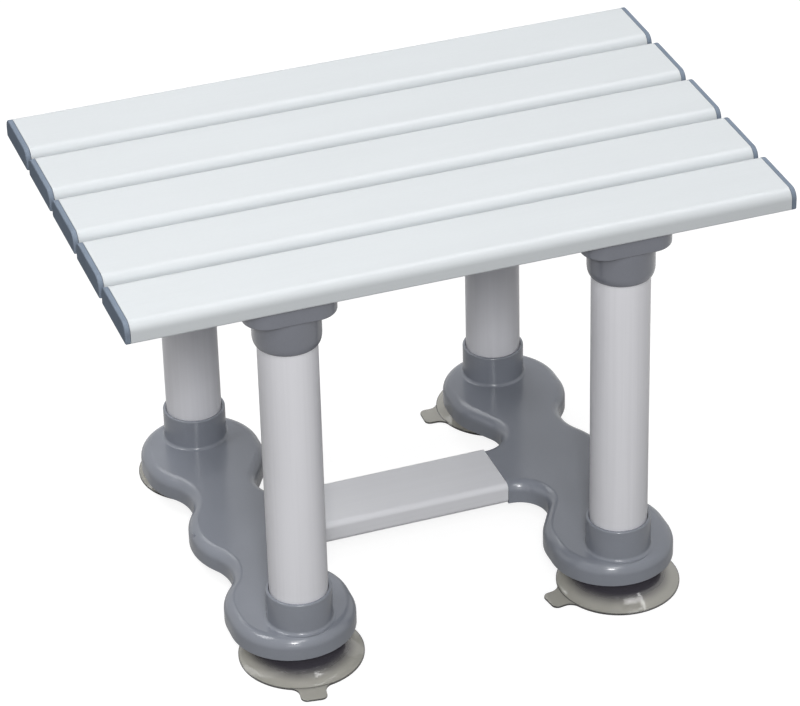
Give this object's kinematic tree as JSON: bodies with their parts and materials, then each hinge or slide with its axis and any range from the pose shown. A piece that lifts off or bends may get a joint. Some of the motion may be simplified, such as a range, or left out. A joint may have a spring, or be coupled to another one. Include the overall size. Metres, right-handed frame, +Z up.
{
  "type": "bath seat",
  "caption": "Low slatted bath seat: white planks on grey bearers, tube legs, two grey foot mouldings joined by a bar, and clear suction cups.",
  "frame": {"origin": "on the floor, below the middle of the seat", "axes": "+Z up, +X to the right along the slats, +Y to the back"},
  "size_m": [0.405, 0.3125, 0.266],
  "materials": {
    "slat_white": "satin, finely lined along the plank",
    "tube_white": "smooth",
    "bar_white": "smooth",
    "grey_moulding": "glossy moulding",
    "cap_grey": "satin",
    "cup_clear": "soft clear plastic",
    "screw_steel": "plain"
  },
  "bodies": {
    "seat": {"slat_1": "slat_white", "slat_2": "slat_white", "slat_3": "slat_white", "slat_4": "slat_white", "slat_5": "slat_white", "end_cap_1_left": "cap_grey", "end_cap_1_right": "cap_grey", "end_cap_2_left": "cap_grey", "end_cap_2_right": "cap_grey", "end_cap_3_left": "cap_grey", "end_cap_3_right": "cap_grey", "end_cap_4_left": "cap_grey", "end_cap_4_right": "cap_grey", "end_cap_5_left": "cap_grey", "end_cap_5_right": "cap_grey", "seat_bearer_left": "grey_moulding", "seat_bearer_right": "grey_moulding", "leg_front_left": "tube_white", "leg_front_right": "tube_white", "leg_back_left": "tube_white", "leg_back_right": "tube_white", "base_left": "grey_moulding", "base_right": "grey_moulding", "cross_bar": "bar_white", "slat_screw_1_left_outer": "screw_steel", "slat_screw_1_left_inner": "screw_steel", "slat_screw_1_right_inner": "screw_steel", "slat_screw_1_right_outer": "screw_steel", "slat_screw_2_left_outer": "screw_steel", "slat_screw_2_left_inner": "screw_steel", "slat_screw_2_right_inner": "screw_steel", "slat_screw_2_right_outer": "screw_steel", "slat_screw_3_left_outer": "screw_steel", "slat_screw_3_left_inner": "screw_steel", "slat_screw_3_right_inner": "screw_steel", "slat_screw_3_right_outer": "screw_steel", "slat_screw_4_left_outer": "screw_steel", "slat_screw_4_left_inner": "screw_steel", "slat_screw_4_right_inner": "screw_steel", "slat_screw_4_right_outer": "screw_steel", "slat_screw_5_left_outer": "screw_steel", "slat_screw_5_left_inner": "screw_steel", "slat_screw_5_right_inner": "screw_steel", "slat_screw_5_right_outer": "screw_steel", "bar_screw_left": "screw_steel", "bar_screw_right": "screw_steel"},
    "cup_front_left": {"suction_cup_front_left": "cup_clear"},
    "cup_front_right": {"suction_cup_front_right": "cup_clear"},
    "cup_back_left": {"suction_cup_back_left": "cup_clear"},
    "cup_back_right": {"suction_cup_back_right": "cup_clear"}
  },
  "joints": [
    {"name": "cup_front_left_turn", "type": "hinge", "parent": "seat", "child": "cup_front_left", "pos_m": [-0.1025, -0.1068, 0], "axis": [0, 0, 1], "continuous": true},
    {"name": "cup_front_right_turn", "type": "hinge", "parent": "seat", "child": "cup_front_right", "pos_m": [0.1025, -0.1068, 0], "axis": [0, 0, 1], "continuous": true},
    {"name": "cup_back_left_turn", "type": "hinge", "parent": "seat", "child": "cup_back_left", "pos_m": [-0.1025, 0.1068, 0], "axis": [0, 0, 1], "continuous": true},
    {"name": "cup_back_right_turn", "type": "hinge", "parent": "seat", "child": "cup_back_right", "pos_m": [0.1025, 0.1068, 0], "axis": [0, 0, 1], "continuous": true}
  ]
}
